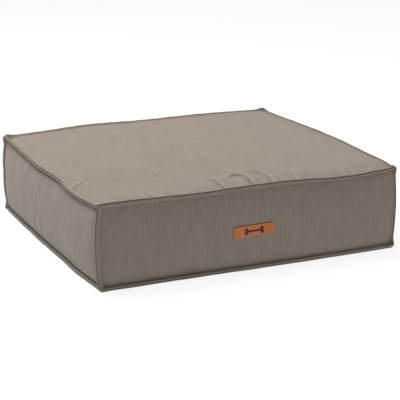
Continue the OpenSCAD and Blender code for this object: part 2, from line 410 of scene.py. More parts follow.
def between_seams(grid, span, ease, puckering):
    """How a face's grid moves with its four seams, and the share of its lift that each point has."""
    shift = seam_shift(span)
    lengths_u = np.linalg.norm(grid[:, 0] - grid[0, 0], axis=-1)
    lengths_v = np.linalg.norm(grid[0, :] - grid[0, 0], axis=-1)
    u = (lengths_u / lengths_u[-1])[:, None, None]
    v = (lengths_v / lengths_v[-1])[None, :, None]
    moved = (
        (1 - v) * shift[:, :1]
        + v * shift[:, -1:]
        + (1 - u) * shift[:1, :]
        + u * shift[-1:, :]
        - (1 - u) * (1 - v) * shift[0, 0]
        - u * (1 - v) * shift[-1, 0]
        - (1 - u) * v * shift[0, -1]
        - u * v * shift[-1, -1]
    )
    from_edge_u = np.minimum(lengths_u, lengths_u[-1] - lengths_u)[:, None]
    from_edge_v = np.minimum(lengths_v, lengths_v[-1] - lengths_v)[None, :]
    rise = (1 - np.exp(-from_edge_u / ease)) * (1 - np.exp(-from_edge_v / ease))
    # The topstitching draws the cloth into small puckers that fade away from the seam
    for along, away, seed in ((lengths_u[:, None], from_edge_v, 61), (lengths_v[None, :], from_edge_u, 62)):
        pucker = ripple(along / 0.11, seed + len(grid), (3.0, 5.2, 8.1))
        rise = rise + puckering * pucker * np.exp(-away / (13 * mm)) * (1 - np.exp(-away / (4 * mm)))
    return moved, rise


start = points.copy()
for name, (face, _) in FACES.items():
    most, ease_in, puckering, _ = FILLING[name]
    moved, rise = between_seams(points[face], spans[face], ease_in, puckering)
    lift = most * rise[..., None] * NORMALS[name]
    if name == "bottom":
        # It lies on the floor and stops just short of it
        lift = np.maximum(lift, -0.98 * seam_bottom)
        moved[..., 2] *= 0
    if name == "back":
        # The zip holds the back panel flat along its middle
        past_zip = np.maximum(0, np.abs(points[face][..., 2] - zip_z) - 8 * mm)[..., None]
        lift = lift * (1 - np.exp(-past_zip / (16 * mm)))
        moved = moved * (1 - np.exp(-past_zip / (20 * mm)))
    inner = np.s_[1:-1, 1:-1]
    current = start[face]
    current[inner] = (points[face] + moved + lift)[inner]
    for edge in (np.s_[:, 0], np.s_[:, -1], np.s_[0, :], np.s_[-1, :]):
        current[edge] = points[face][edge] + seam_shift(spans[face][edge])
    start[face] = current


def linked(name, data):
    """A new object in the scene with the given mesh, curve, lamp or camera."""
    made = bpy.data.objects.new(name, data)
    bpy.context.scene.collection.objects.link(made)
    return made


def facing_out(piece):
    with editing(piece):
        bpy.ops.mesh.normals_make_consistent(inside=False)


def meshed(name, vertices, faces):
    mesh = bpy.data.meshes.new(name)
    mesh.from_pydata(vertices.tolist(), [], faces)
    return linked(name, mesh)


def quads_of(grid):
    """The corners of every cell of a grid of point numbers."""
    return np.stack([grid[:-1, :-1], grid[1:, :-1], grid[1:, 1:], grid[:-1, 1:]], -1).reshape(-1, 4)


def on_face(name):
    mask = np.zeros(points.shape[:3], bool)
    mask[FACES[name][0]] = True
    return mask


def fill_cover(start):
    """Inflates the panels a little between their seams with a cloth simulation."""
    index = -np.ones(start.shape[:3], int)
    used, faces = [], []
    for name in ("top", "front", "back", "right", "left"):
        for key in map(tuple, np.argwhere(on_face(name))):
            if index[key] < 0:
                index[key] = len(used)
                used.append(key)
        faces += quads_of(index[FACES[name][0]]).tolist()
    rng = np.random.default_rng(11)
    coordinates = np.array([start[key] for key in used])
    coordinates = coordinates + rng.normal(0, 0.15 * mm, coordinates.shape)
    cover = meshed("filling", coordinates, faces)
    # The seams and the strip along the zip hold still
    held = cover.vertex_groups.new(name="held")
    fixed = set()
    for number, key in enumerate(used):
        seams = sum(np.abs(spans[key]) > AT_FACE)
        on_zip = spans[key][1] > AT_FACE and abs(start[key][2] - zip_z) < 12 * mm
        if seams >= 2 or on_zip:
            held.add([number], 1.0, "REPLACE")
            fixed.add(key)
    cloth = cover.modifiers.new("cloth", "CLOTH")
    settings = cloth.settings
    settings.quality = 6
    settings.mass = 0.25
    settings.tension_stiffness = settings.compression_stiffness = 12
    settings.shear_stiffness = 4
    settings.bending_stiffness = 0.6
    settings.air_damping = 2
    settings.vertex_group_mass = "held"
    settings.pin_stiffness = 20
    settings.shrink_min = -0.012
    settings.use_pressure = True
    settings.uniform_pressure_force = 3.0
    settings.effector_weights.gravity = 0
    cloth.collision_settings.use_collision = False
    frames = 20
    cloth.point_cache.frame_end = frames
    scene = bpy.context.scene
    for number in range(1, frames + 1):
        scene.frame_set(number)
    settled = cover.evaluated_get(bpy.context.evaluated_depsgraph_get())
    result = settled.to_mesh()
    moved = np.zeros(len(result.vertices) * 3, np.float32)
    result.vertices.foreach_get("co", moved)
    moved = moved.reshape(-1, 3).astype(float)
    settled.to_mesh_clear()
    scene.frame_set(1)
    bpy.data.objects.remove(cover)
    filled = start.copy()
    on_face_of = {name: on_face(name) for name in FACES}
    for key, place in zip(used, moved):
        if key in fixed:
            continue
        step = place - start[key]
        size = np.linalg.norm(step)
        follows = next(FILLING[name][3] for name in FACES if on_face_of[name][key])
        filled[key] = start[key] + step * follows * min(1, MOST_PUSHED / max(size, 1e-9))
    return filled


filled = fill_cover(start)

# ---------------------------------------------------------------------------
# Cover panels with their flanged seams.
# Every panel's edge is turned in, laid on its neighbour's and topstitched, so the two
# folds stand out from the box as a double rim with a slit along its crest.

FLANGE = 9.4 * mm
FABRIC = 1.2 * mm
# A turned edge from its root to its crest and back: share of the flange, and mm off its middle.
# FOLD_PROFILE has the same number of points, for an edge beside the zip.
LIP_PROFILE = [
    (0.10, 2.3),
    (0.22, 2.2),
    (0.34, 1.75),
    (0.46, 2.3),
    (0.62, 2.7),
    (0.78, 2.85),
    (0.91, 2.6),
    (1.00, 2.0),
    (0.99, 1.35),
    (0.88, 0.75),
    (0.60, 0.25),
    (0.10, 0.10),
]
FOLD_PROFILE = [(0.3, 0.0), (0.6, -0.05), (0.8, -0.15), (0.9, -0.3), (1.0, -0.5), (1.0, -0.7),
                (1.0, -0.9), (0.9, -1.1), (0.8, -1.25), (0.6, -1.35), (0.3, -1.4), (0.1, -1.4)]
# This many of the points lie on the outside of the flange
OUTER_POINTS = 7
ROOT_LIFT = 1.7
# How far the edges beside the zip fold back over themselves
FOLD_REACH = 0.9 * mm


def unit(v):
    return v / np.maximum(np.linalg.norm(v, axis=-1, keepdims=True), 1e-12)


def flange_vectors(span):
    """From the seam's root to the flange's crest, for points on seams given by their spans."""
    on, across, deep, upward = seams_at(span)
    vectors = np.zeros(span.shape)

    def rim(face, edge, t, angle, seed):
        tilt = np.radians(angle + 5 * ripple(t, seed) * arch(t, 0.5))[..., None]
        size = (FLANGE * (1 + 0.04 * ripple(t, seed + 50)))[..., None]
        made = np.cos(tilt) * size * NORMALS[face] + np.sin(tilt) * size * NORMALS["top"]
        seam = on[face] & on[edge]
        vectors[seam] = made[seam]

    rim("left", "top", deep, 42 - 32 * ramp(deep, 0.65, 0.72), 21)
    rim("right", "top", deep, 5, 22)
    rim("left", "bottom", deep, -12, 23)
    rim("right", "bottom", deep, -12, 24)
    rim("front", "top", across, 48 - 16 * ramp(across, 0.66, 0.78), 25)
    rim("back", "top", across, 12, 26)
    rim("front", "bottom", across, -11 - 7 * ramp(across, 0.4, 0.7), 27)
    rim("back", "bottom", across, -12, 28)
    a, b, c = np.moveaxis(span, -1, 0)
    lean = np.where(b > 0, np.where(a < 0, 30.0, 0.0), np.where(a < 0, -17.0, -65.0))
    turn = np.radians(lean + np.where(b > 0, 5, 1.5) * ripple(upward, 29) * arch(upward, 0.5)) + math.pi / 4
    diagonal = np.stack([np.sign(a) * np.cos(turn), np.sign(b) * np.sin(turn), np.zeros(a.shape)], -1)
    upright = on["upright"] & ~on["top"] & ~on["bottom"]
    vectors[upright] = (diagonal * FLANGE)[upright]

    # Towards a corner the three flanges run together into a pointed ear
    ear_top = np.array([0.86, 0.86, 0.76]) * FLANGE
    ear_bottom = np.array([0.92, 0.92, -0.3]) * FLANGE
    corner = np.stack([np.sign(a), np.sign(b), np.ones_like(c)], -1)
    corner = np.where((c > 0)[..., None], corner * ear_top, corner * ear_bottom)
    half_box = np.array([seam_x, seam_y, (seam_top - seam_bottom) / 2])
    gap = ((1 - np.abs(span)) * half_box).max(-1)
    share = np.exp(-((gap / (10 * mm)) ** 2.6))[..., None]
    return vectors * (1 - share) + corner * share


def painted_flange_shading(span):
    """Painted shade that darkens each flange against the panels, for points on seams; the bottom front's
    flange gets painted light instead.
    """
    on = seams_at(span)[0]
    between = ~on["top"] & ~on["bottom"]
    tone = np.zeros(span.shape[:-1])
    tone[on["top"] & on["front"]] = -0.8
    tone[on["top"] & on["back"]] = -0.9
    tone[on["top"] & on["right"]] = -1.1
    tone[on["right"] & on["front"] & between] = -0.9
    tone[on["left"] & on["back"] & between] = -0.6
    # Painted light on the bottom front's flange
    tone[on["bottom"] & on["front"]] = 1.4
    return tone


def interleaved(rows, between):
    out = np.empty((2 * len(rows) - 1,) + rows.shape[1:])
    out[0::2], out[1::2] = rows, between
    return out


def halfway(rows):
    """Doubles the rows of a grid with points halfway along a smooth curve through them."""
    padded = np.concatenate([2 * rows[:1] - rows[1:2], rows, 2 * rows[-1:] - rows[-2:-1]])
    return interleaved(rows, (9 * (padded[1:-2] + padded[2:-1]) - padded[:-3] - padded[3:]) / 16)


def halfway_straight(rows):
    return interleaved(rows, (rows[:-1] + rows[1:]) / 2)


def both_ways(grid, step):
    return np.swapaxes(step(np.swapaxes(step(grid), 0, 1)), 0, 1)


def grid_normals(grid):
    return unit(np.cross(np.gradient(grid, axis=0), np.gradient(grid, axis=1)))


# Creases in the top: the line of each in mm from the middle, its height, and whether it runs into a seam.
# The cloth rises gently from behind and falls away steeply on the right-hand side of the line.
GENTLE_SIDE, STEEP_SIDE = 12.0, 4.8
CREASES = [
    (((-55, -195), (-47, -220), (-50, -260)), 2.8, True),
    (((-25, -205), (-5, -195), (10, -205), (12, -235), (7, -265)), 4.0, True),
    (((35, -175), (50, -205), (52, -235), (46, -265)), 3.0, True),
    (((103, -210), (102, -240), (93, -275)), 2.0, True),
    (((-310, -135), (-295, -120), (-265, -110)), 2.4, False),
]


def creased(x, y):
    """Height in metres and shade of the creases at points on the top."""
    height, shade = np.zeros(x.shape), np.zeros(x.shape)
    for line, most, into_seam in CREASES:
        corners = np.array(line, float) * mm
        at = np.linspace(0, len(corners) - 1, 60)
        path = np.stack([np.interp(at, np.arange(len(corners)), corners[:, k]) for k in (0, 1)], -1)
        for _ in range(30):
            path[1:-1] = (path[:-2] + 2 * path[1:-1] + path[2:]) / 4
        heading = unit(np.gradient(path, axis=0))
        offset = np.stack([x, y], -1)[..., None, :] - path
        nearest = np.argmin((offset**2).sum(-1), -1)
        offset = np.take_along_axis(offset, nearest[..., None, None], -2)[..., 0, :]
        towards = heading[nearest]
        sideways = (towards[..., 0] * offset[..., 1] - towards[..., 1] * offset[..., 0]) / mm
        beyond = np.abs((towards * offset).sum(-1)) / mm
        t = nearest / (len(path) - 1)
        strength = ramp(t, 0, 0.18) * (1 if into_seam else 1 - ramp(t, 0.7, 1)) * np.exp(-((beyond / 2) ** 2))
        width = np.where(sideways > 0, GENTLE_SIDE, STEEP_SIDE)
        rise = np.exp(-((sideways / width) ** 2)) - 0.25 * bump(sideways, -9.0, 4.0)
        height += most * mm * strength * rise
        shade += strength * (1.8 * bump(sideways, 1.0, 2.4) - 0.16 * most * bump(sideways, -5.0, 4.0))
    return height, shade


class Panel:
    """One fabric panel: its outer surface as a grid, and the ring of points round its edge."""

    def __init__(self, name, grid, span, normal, neighbours, folded_side=None):
        self.name, self.grid, self.span = name, grid, span
        m, n = grid.shape[:2]
        number = np.arange(m * n).reshape(m, n)
        # Anticlockwise from outside: along the first edge, the far side, back along the last edge, and home
        sides = [number[:-1, 0], number[-1, :-1], number[:0:-1, -1], number[0, :0:-1]]
        self.ring = np.concatenate(sides)
        self.side = np.concatenate([[k] * len(s) for k, s in enumerate(sides)])
        place = grid.reshape(-1, 3)[self.ring]
        self.place = place
        forward = unit(np.roll(place, -1, 0) - place)
        facing, fold = np.zeros_like(place), np.zeros(len(place))
        self.crest = flange_vectors(span.reshape(-1, 3)[self.ring])
        corner = np.r_[True, self.side[1:] != self.side[:-1]]
        backward = np.roll(forward, 1, 0)
        along = np.where(corner[:, None], forward, unit(forward + backward))
        for k, other in enumerate(neighbours):
            if k == folded_side:
                continue
            mask = self.side == k
            sideways = np.cross(along[mask], self.crest[mask])
            towards = normal - other
            facing[mask] = unit(sideways) * np.sign(sideways @ towards)[:, None]
        if folded_side is not None:
            mask = self.side == folded_side
            centre = grid.reshape(-1, 3).mean(0)
            self.crest[mask] = np.array([0, 0, np.sign(zip_z - centre[2])]) * FOLD_REACH
            facing[mask] = normal
            fold[mask] = 1
        for at in np.flatnonzero(corner):
            before, after = self.side[at - 1], self.side[at]
            if folded_side in (before, after):
                seam_at = at + 1 if before == folded_side else at - 1
                fold[at] = 0
                self.crest[at] = flange_vectors(span.reshape(-1, 3)[self.ring[at]][None])[0]
                facing[at] = facing[seam_at]
            else:
                facing[at] = facing[at - 1] + facing[(at + 1) % len(facing)]
            facing[at] -= unit(self.crest[at]) * (facing[at] @ unit(self.crest[at]))
            facing[at] = unit(facing[at])
        self.facing, self.fold = facing, fold

    def station(self, share, lift, fold_share=0.0, fold_lift=0.0):
        """Points on the flange: a share of the way to its crest, and a lift in mm off its middle."""
        on_fold = self.fold[:, None]
        shares = share * (1 - on_fold) + fold_share * on_fold
        lifts = (lift * (1 - on_fold) + fold_lift * on_fold) * mm
        return self.place + self.crest * shares + self.facing * lifts

    def build(self, flat, shade=None):
        """The panel as a closed shell with its turned edges. flat is each point's place on the cloth."""
        m, n = self.grid.shape[:2]
        outer = self.grid.reshape(-1, 3).copy()
        normals = grid_normals(self.grid).reshape(-1, 3)
        inner = outer - normals * FABRIC
        outer[self.ring] = self.station(0.0, ROOT_LIFT)
        inner[self.ring] = self.station(-0.08, 0.12, 0.0, -1.4)
        strips = [self.station(*lip, *fold) for lip, fold in zip(LIP_PROFILE, FOLD_PROFILE)]
        count = len(self.ring)
        vertices = np.concatenate([outer, *strips, inner])
        # The floor presses the lowest folds flat
        vertices[:, 2] = np.maximum(vertices[:, 2], 0.02 * mm)
        quads = quads_of(np.arange(m * n).reshape(m, n))
        rows = [self.ring]
        rows += [m * n + k * count + np.arange(count) for k in range(len(strips))]
        rows += [m * n + len(strips) * count + self.ring]
        bands = [
            np.stack([low, np.roll(low, -1), np.roll(high, -1), high], -1)[:, ::-1]
            for high, low in zip(rows[1:], rows[:-1])
        ]
        lining = (quads + m * n + len(strips) * count)[:, ::-1]
        faces = np.concatenate([quads, *bands, lining])
        piece = meshed(self.name, vertices, faces.tolist())
        mesh = piece.data
        # Each point's place on the flat cloth, in metres
        flat = flat.reshape(-1, 2)
        outward = unit(flat[self.ring] - flat.mean(0))
        reach = [share * FLANGE for share, _ in LIP_PROFILE[:OUTER_POINTS]]
        reach += [reach[-1] + k * FABRIC for k in range(1, len(LIP_PROFILE) - OUTER_POINTS + 1)]
        cloth = np.concatenate([flat, *(flat[self.ring] + outward * r for r in reach), flat])
        # Painted light and shade at each point: the creases' painted shade and highlights on the panel, and
        # the flanges' painted highlights and shade
        wear = np.zeros(len(vertices), np.float32)
        if shade is not None:
            wear[: m * n] = shade.ravel()
        tone = painted_flange_shading(self.span.reshape(-1, 3)[self.ring])
        # Painted highlight along each flange's crest, with the seam's painted shade (painted light on the
        # bottom front) over the outside of the flange
        for k, (share, _) in enumerate(LIP_PROFILE[: OUTER_POINTS + 2]):
            wear[m * n + k * count : m * n + (k + 1) * count] = share**6 + tone * min(1, 3 * share)
        layer = mesh.uv_layers.new(name="cloth")
        corners = np.zeros(len(mesh.loops), np.int32)
        mesh.loops.foreach_get("vertex_index", corners)
        layer.data.foreach_set("uv", cloth[corners].astype(np.float32).ravel())
        mesh.attributes.new("wear", "FLOAT", "POINT").data.foreach_set("value", wear)
        facing_out(piece)
        bpy.ops.object.shade_smooth()
        return piece


EDGES = {
    "top": ("front", "right", "back", "left"),
    "bottom": ("back", "right", "front", "left"),
    "front": ("bottom", "right", "top", "left"),
    "back": ("bottom", "left", "top", "right"),
    "right": ("bottom", "back", "top", "front"),
    "left": ("bottom", "front", "top", "back"),
}
# The directions that a face's flat cloth runs in, by number
CLOTH_AXES = {
    "top": [0, 1],
    "bottom": [0, 1],
    "front": [0, 2],
    "back": [0, 2],
    "right": [1, 2],
    "left": [1, 2],
}


def fine(name, rows=np.s_[:, :]):
    """Rows of a face as it is filled, their spans and their flat cloth, with points added halfway."""
    face = FACES[name][0]
    flat = both_ways(points[face][rows], halfway_straight)[..., CLOTH_AXES[name]]
    return both_ways(filled[face][rows], halfway), both_ways(spans[face][rows], halfway_straight), flat


def neighbours_of(name):
    return [NORMALS[neighbour] for neighbour in EDGES[name]]


panels = {}
for name in ("top", "bottom", "front", "right", "left"):
    grid, span, flat = fine(name)
    shade = None
    if name == "top":
        lift, shade = creased(grid[..., 0], grid[..., 1])
        lift[[0, -1], :] = lift[:, [0, -1]] = 0
        grid[..., 2] += lift
    panels[name] = Panel(name + "_cover", grid, span, NORMALS[name], neighbours_of(name))
    panels[name].piece = panels[name].build(flat, shade)

# The back's halves stand apart along the zip, and come together past its ends
half_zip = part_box("zip_tape_upper")[1].x
half_window, half_slit, pulled_rows = 5.0 * mm, 0.2 * mm, 4
for name, rows, side, away in (
    ("back_upper", np.s_[:, zip_level:], 0, 1),
    ("back_lower", np.s_[:, : zip_level + 1], 2, -1),
):
    grid, span, flat = fine("back", rows)
    ends = grid[[0, -1], :, 2]
    edge = grid[:, 0] if side == 0 else grid[:, -1]
    window = 1 - ramp(np.abs(edge[:, 0]), half_zip - 1 * mm, half_zip + 2.5 * mm)
    shift = half_slit + (half_window - half_slit) * window + FOLD_REACH
    share = np.maximum(0, 1 - np.arange(grid.shape[1]) / pulled_rows)[::away]
    grid[..., 2] += away * shift[:, None] * share
    grid[[0, -1], :, 2] = ends
    panels[name] = Panel(name + "_cover", grid, span, NORMALS["back"], neighbours_of("back"), side)
    panels[name].piece = panels[name].build(flat)

COVERS = {
    "top": "top_panel",
    "bottom": "bottom_panel",
    "front": "front_panel",
    "right": "right_panel",
    "left": "left_panel",
    "back_upper": "back_panel_upper",
    "back_lower": "back_panel_lower",
}


def woven(name, dark, light):
    """Slub-woven cover fabric, drawn on the cloth's own UV map in metres, warp along V."""
    finish = Finish(name, Roughness=0.92, Sheen_Weight=0.22, Sheen_Roughness=0.45, Specular_IOR_Level=0.2)
    cloth = finish.node("UVMap", {"uv_map": "cloth"})
    u, v, _ = finish.parts(cloth)
    turn = 2 * math.pi / (1.3 * mm)
    # Plain weave: warp and weft threads pass over each other in turn
    warp = (u * turn).math("SINE")
    weft = (v * turn).math("SINE")
    weave = warp * weft * 0.5 + 0.5

    def threads(per_u, per_v, detail=2.0, roughness=0.5):
        place = finish.node("CombineXYZ", {}, {0: u * per_u, 1: v * per_v, 2: 0.37})
        return finish.noise(1.0, detail, place, roughness)

    streaks = threads(340, 26, 2.5, 0.6)
    bars = threads(30, 430, 2.0, 0.55)
    mottle = threads(14, 11, 2.0)
    slubs = (threads(290, 34, 1.0) - 0.60).math("MAXIMUM", 0) * 4
    # Here and there a run of thicker warp threads shows as a group of short dashes
    runs = (threads(24, 32, 1.0) - 0.5).math("MAXIMUM", 0)
    dashes = (u * (2 * math.pi / (3.8 * mm))).math("SINE") * runs * 0.9
    tone = (
        (streaks - 0.5)
        + (bars - 0.5) * 0.3
        + dashes
        + (mottle - 0.5) * 0.25
        + (weave - 0.5) * 0.3
        + slubs * 0.5
        + 0.5
    )
    # Painted highlights lighten and painted shade darkens the fabric's tone, from the panels' attribute
    wear = finish.node("Attribute", {"attribute_name": "wear"}, {}, output=2)
    tone = tone + wear.math("MAXIMUM", 0) * 0.25 + wear.math("MINIMUM", 0) * 1.1
    tone = tone.math("MINIMUM", 1.25).math("MAXIMUM", -0.9)
    colour = finish.mix(tone, dark, light)
    height = weave * 0.5 + streaks * 0.6 + bars * 0.25 + slubs * 0.5
    finish.surface(Base_Color=colour, Normal=finish.bumped(height, 0.55, 0.35 * mm))
    return finish


cover_finish = woven("cover_fabric", dark=(0.212, 0.175, 0.144), light=(0.325, 0.270, 0.221))
# Every edge runs up one side of the flange and down the other, so each panel is cut larger by
# twice the flange at both ends. The back's halves are also turned in at the zip.
for name, panel in panels.items():
    cover_finish.put_on(panel.piece)
    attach(panel.piece, "bed")
    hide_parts(COVERS[name])

# ---------------------------------------------------------------------------
# Topstitching.
# A thick polyester thread runs round every flange, through all its layers, and along
# both sides of the zip. Each stitch shows as a short strand that dips at its ends.

STITCH_PITCH = 4.3 * mm
STITCH_LENGTH = 3.7 * mm
STITCH_THICK = 0.8 * mm
# Share of the flange, and mm off its middle, at which its topstitching runs
STITCH_LINE = (0.36, 1.95)

bpy.ops.mesh.primitive_uv_sphere_add(segments=6, ring_count=6, radius=0.5)
strand = bpy.context.object
strand_points = np.array([tuple(v.co)[::-1] for v in strand.data.vertices])
# A strand is full along its middle and dives into the cloth at each end
strand_points[:, 1:] *= (1.15 - 0.15 * np.cos(strand_points[:, :1] * math.pi)) * np.array([1.0, 0.9])
strand_points[:, 2] -= 2.2 * np.abs(strand_points[:, 0]) ** 3
strand_faces = [tuple(f.vertices)[::-1] for f in strand.data.polygons]
bpy.data.objects.remove(strand)


def stitched(name, lines, length=STITCH_LENGTH, pitch=STITCH_PITCH, thick=STITCH_THICK):
    """Rows of stitches, each along a line of points where the cloth faces the given directions."""
    vertices, faces = [], []
    rng = np.random.default_rng(len(name))
    for points_on, facings in lines:
        along = np.concatenate([[0], np.cumsum(np.linalg.norm(np.diff(points_on, axis=0), axis=1))])
        count = int((along[-1] - pitch) / pitch)
        at = (np.arange(count) + 0.5) * pitch + (along[-1] - count * pitch) / 2

        def spot(s):
            return np.stack([np.interp(s, along, points_on[:, k]) for k in range(3)], -1)

        forward = unit(spot(at + length / 2) - spot(at - length / 2))
        outward = np.stack([np.interp(at, along, facings[:, k]) for k in range(3)], -1)
        outward = unit(outward - forward * (outward * forward).sum(-1, keepdims=True))
        sideways = np.cross(outward, forward)
        sizes = rng.uniform(0.93, 1.05, count)
        for place, f, s, o, size in zip(spot(at), forward, sideways, outward, sizes):
            base = len(vertices) * len(strand_points)
            frame_of = np.stack([f * length * size, s * thick, o * thick])
            vertices.append(place + strand_points @ frame_of)
            faces += [tuple(base + i for i in face) for face in strand_faces]
    piece = meshed(name, np.concatenate(vertices), faces)
    facing_out(piece)
    bpy.ops.object.shade_smooth()
    return piece


def threaded(name, dark, light):
    """Twisted sewing thread, each strand a little different from the next."""
    finish = Finish(name, Roughness=0.6, Sheen_Weight=0.2)
    place = finish.place()
    lengths = finish.noise(190.0, 1.0, place)
    waves = {"Vector": place, "Scale": 700.0}
    twist = finish.node("TexWave", {"bands_direction": "DIAGONAL"}, waves, output=1)
    finish.surface(
        Base_Color=finish.mix(lengths * 0.8 + twist * 0.2, dark, light),
        Normal=finish.bumped(twist, 0.3, 0.1 * mm),
    )
    return finish


def flange_row(panel, side):
    """The line that the stitching follows along one side of a panel, and the way the cloth faces."""
    at = np.flatnonzero(panel.side == side)
    at = np.append(at, (at[-1] + 1) % len(panel.ring))
    on_seam = panel.station(*STITCH_LINE)
    # The ears at the corners are turned before they are stitched, so the rows stop short of them
    return on_seam[at][3:-3], panel.facing[at][3:-3]


BORDERS = ("front", "right", "left")
thread_finish = threaded("sewing_thread", (0.27, 0.235, 0.2), (0.4, 0.355, 0.31))
rows = {
    "top_seam": [flange_row(panels["top"], k) for k in range(4)]
    + [flange_row(panels[name], 2) for name in (*BORDERS, "back_upper")],
    "bottom_seam": [flange_row(panels["bottom"], k) for k in range(4)]
    + [flange_row(panels[name], 0) for name in (*BORDERS, "back_lower")],
    "corner_seam": [
        flange_row(panels[name], k) for name in (*BORDERS, "back_upper", "back_lower") for k in (1, 3)
    ],
}


def cloth_behind(cloth, x, z, start=50 * mm):
    """How far back the back panel's cloth lies at points across it."""
    from_y = bed_high.y + start
    return np.array([cloth.ray_cast((a, from_y, b), (0, -1, 0))[1].y for a, b in zip(x, z)])


zip_row_off = 7.5 * mm
zip_row_x = np.linspace(-half_zip, half_zip, 80)
rows["zip_seam"] = []
for name, side in (("back_upper", 1), ("back_lower", -1)):
    zip_row_z = np.full_like(zip_row_x, zip_z + side * zip_row_off)
    zip_row_y = cloth_behind(panels[name].piece, zip_row_x, zip_row_z) + 0.3 * mm
    zip_row = np.stack([zip_row_x, zip_row_y, zip_row_z], -1)
    rows["zip_seam"].append((zip_row, np.tile((0.0, 1.0, 0.0), (len(zip_row), 1))))
for name, lines in rows.items():
    piece = stitched(name + "_stitches", lines)
    thread_finish.put_on(piece)
    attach(piece, "bed")
    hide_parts(name + "_thread")

# ---------------------------------------------------------------------------
# Zip tapes and end tabs.
# Two woven herringbone tapes are sewn behind the folded edges of the back panel. Past
# the zip's ends a doubled tab of cover fabric closes the slot from inside.


def ease(piece, width):
    """Rounds a piece's sharp edges over and shades the rest smooth."""
    if width:
        modify(piece, "BEVEL", width=width, segments=2, limit_method="ANGLE", angle_limit=math.radians(30))
    bpy.ops.object.shade_smooth_by_angle(angle=math.radians(35))


def eased_copy(name, node, width):
    """A piece with the shape of a CAD node and its edges rounded over."""
    piece = linked(name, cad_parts[node].data.copy())
    with editing(piece):
        bpy.ops.mesh.remove_doubles(threshold=1e-6)
        bpy.ops.mesh.dissolve_limited(angle_limit=math.radians(1))
    ease(piece, width)
    return piece


tape_finish = Finish("zip_tape", Roughness=0.85, Sheen_Weight=0.1, Specular_IOR_Level=0.2)
tape_x, _, tape_z = tape_finish.parts(tape_finish.place())
# Twill lines that turn back at each herringbone column
column = 2.2 * mm
folded_z = (tape_z - zip_z).math("PINGPONG", column)
twill = ((tape_x + folded_z) * (2 * math.pi / (0.9 * mm))).math("SINE") * 0.5 + 0.5
tape_finish.surface(
    Base_Color=tape_finish.mix(twill, (0.105, 0.085, 0.068), (0.165, 0.138, 0.112)),
    Normal=tape_finish.bumped(twill, 0.5, 0.15 * mm),
)
for node in ("zip_tape_upper", "zip_tape_lower"):
    tape = eased_copy(node + "_cloth", node, 0.15 * mm)
    tape_finish.put_on(tape)
    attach(tape, "bed")
    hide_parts(node)
    width, _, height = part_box(node)[1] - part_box(node)[0]

tabs = eased_copy("zip_end_tab_cloth", "zip_end_tabs", 0.3 * mm)
tab_finish = Finish("end_tab_fabric", Roughness=0.92, Sheen_Weight=0.2, Specular_IOR_Level=0.2)
tab_weave = tab_finish.noise(500.0, 2.0)
tab_finish.surface(
    Base_Color=tab_finish.mix(tab_weave, (0.21, 0.175, 0.147), (0.32, 0.268, 0.225)),
    Normal=tab_finish.bumped(tab_weave, 0.5, 0.3 * mm),
)
tab_finish.put_on(tabs)
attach(tabs, "bed")
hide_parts("zip_end_tabs")

# ---------------------------------------------------------------------------
# Zip teeth.
# A nylon coil is sewn along the inner edge of each tape. The two coils' loops lie half a
# pitch apart, so that one row's heads face the other's gaps.

COIL_PITCH = 1.3 * mm
COIL_WIRE = 0.64 * mm
COIL_STEPS = 9
coil_finish = Finish("nylon_coil", Roughness=0.42)
coil_dust = coil_finish.noise(160.0, 3.0)
coil_finish.surface(
    Base_Color=coil_finish.mix(coil_dust, (0.085, 0.068, 0.055), (0.15, 0.125, 0.1)),
    Roughness=coil_dust * 0.2 + 0.32,
)
for node, side in (("zip_teeth_upper", 1), ("zip_teeth_lower", -1)):
    low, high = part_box(node)
    # The heads reach a little nearer to the middle than the CAD rod does, clear of the slider's post
    head, heel = 0.68 * mm, max(abs(low.z - zip_z), abs(high.z - zip_z))
    reach_z = (heel - head - COIL_WIRE) / 2
    reach_y = (high.y - low.y - COIL_WIRE) / 2
    turns = int((high.x - low.x - 2 * COIL_WIRE) / COIL_PITCH)
    turn = 2 * math.pi * np.arange(turns * COIL_STEPS) / COIL_STEPS
    loops = np.stack(
        [
            low.x + COIL_WIRE + COIL_PITCH * (turn / (2 * math.pi) + (0.5 if side < 0 else 0)),
            (low.y + high.y) / 2 + reach_y * np.sin(turn),
            zip_z + side * ((head + heel) / 2 - reach_z * np.cos(turn)),
        ],
        -1,
    )
    curve = bpy.data.curves.new(node + "_coil", "CURVE")
    curve.dimensions = "3D"
    curve.bevel_depth = COIL_WIRE / 2
    curve.bevel_resolution = 0
    curve.use_fill_caps = True
    wire = curve.splines.new("POLY")
    wire.points.add(len(loops) - 1)
    wire.points.foreach_set("co", np.c_[loops, np.ones(len(loops))].ravel())
    only(linked(node + "_coil", curve))
    bpy.ops.object.convert(target="MESH")
    coil = bpy.context.object
    bpy.ops.object.shade_smooth()
    coil_finish.put_on(coil)
    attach(coil, "bed")
    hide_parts(node)

# ---------------------------------------------------------------------------
# Zip stops, slider and pull.
# Die-cast parts in dark nickel: a clamped stop at each end, the slider that runs on the
# coils, and the pull that swings on a bar through the slider's bail.

metal_finish = Finish("dark_nickel", Metallic=1.0, Roughness=0.35)
scuffs = metal_finish.noise(420.0, 5.0, roughness=0.65)
tarnish = metal_finish.noise(60.0, 2.0)
metal_finish.surface(
    Base_Color=metal_finish.mix(tarnish, (0.23, 0.22, 0.21), (0.42, 0.41, 0.4)),
    Roughness=scuffs * 0.3 + 0.2,
    Normal=metal_finish.bumped(scuffs, 0.12, 0.05 * mm),
)


def cut_away(piece, cutter):
    """Takes a cutter's shape out of a piece and throws the cutter away."""
    modify(piece, "BOOLEAN", object=cutter, operation="DIFFERENCE", solver="EXACT")
    bpy.data.objects.remove(cutter)


stops = eased_copy("zip_end_stops", "zip_stops", 0.35 * mm)
metal_finish.put_on(stops)
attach(stops, "bed")
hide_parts("zip_stops")

slider_low, slider_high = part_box("zip_slider")
pull_low, pull_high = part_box("zip_pull")
slider_x = (slider_low.x + slider_high.x) / 2
plate_low_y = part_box("zip_teeth_upper")[1].y + 0.4 * mm
slider = eased_copy("zip_slider_body", "zip_slider", 0)
